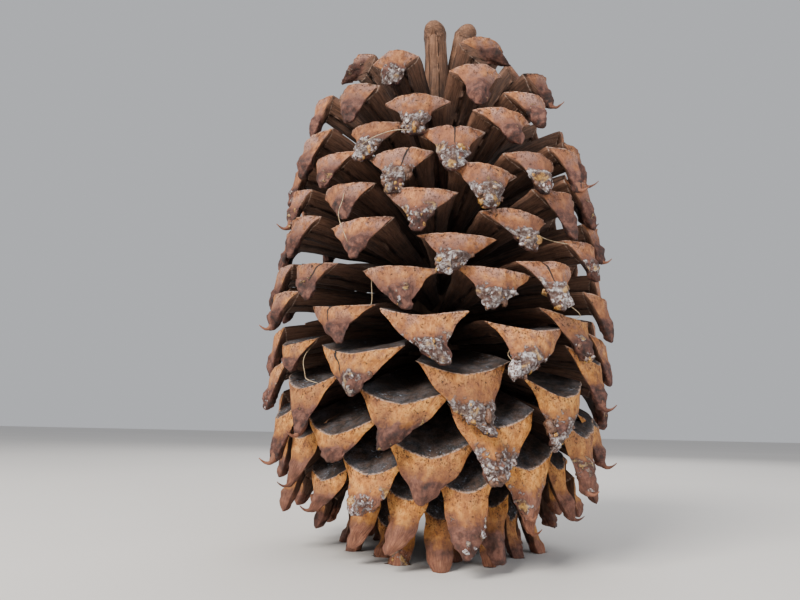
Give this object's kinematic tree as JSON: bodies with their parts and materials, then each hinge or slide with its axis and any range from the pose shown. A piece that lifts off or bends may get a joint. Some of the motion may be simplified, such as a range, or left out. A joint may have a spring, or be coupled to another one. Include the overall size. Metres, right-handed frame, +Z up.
{
  "type": "pine cone",
  "caption": "Large open pine cone, standing upright on the claws of its lowest scales; wedge-shaped woody scales spiral round a tapered axis, each ending in a hooked claw.",
  "frame": {"origin": "on the ground plane under the middle of the cone's box, on the cone's axis to within a millimetre", "axes": "+Z up along the cone's axis from stalk to tip, -Y towards the viewer of the picture, +X to the viewer's right"},
  "size_m": [0.1298, 0.1284, 0.2056],
  "materials": {
    "cone_wood": "dry, rough, matt wood, tan on the end faces and dark brown inside"
  },
  "bodies": {
    "root": {"pine_cone": "cone_wood"}
  },
  "joints": []
}
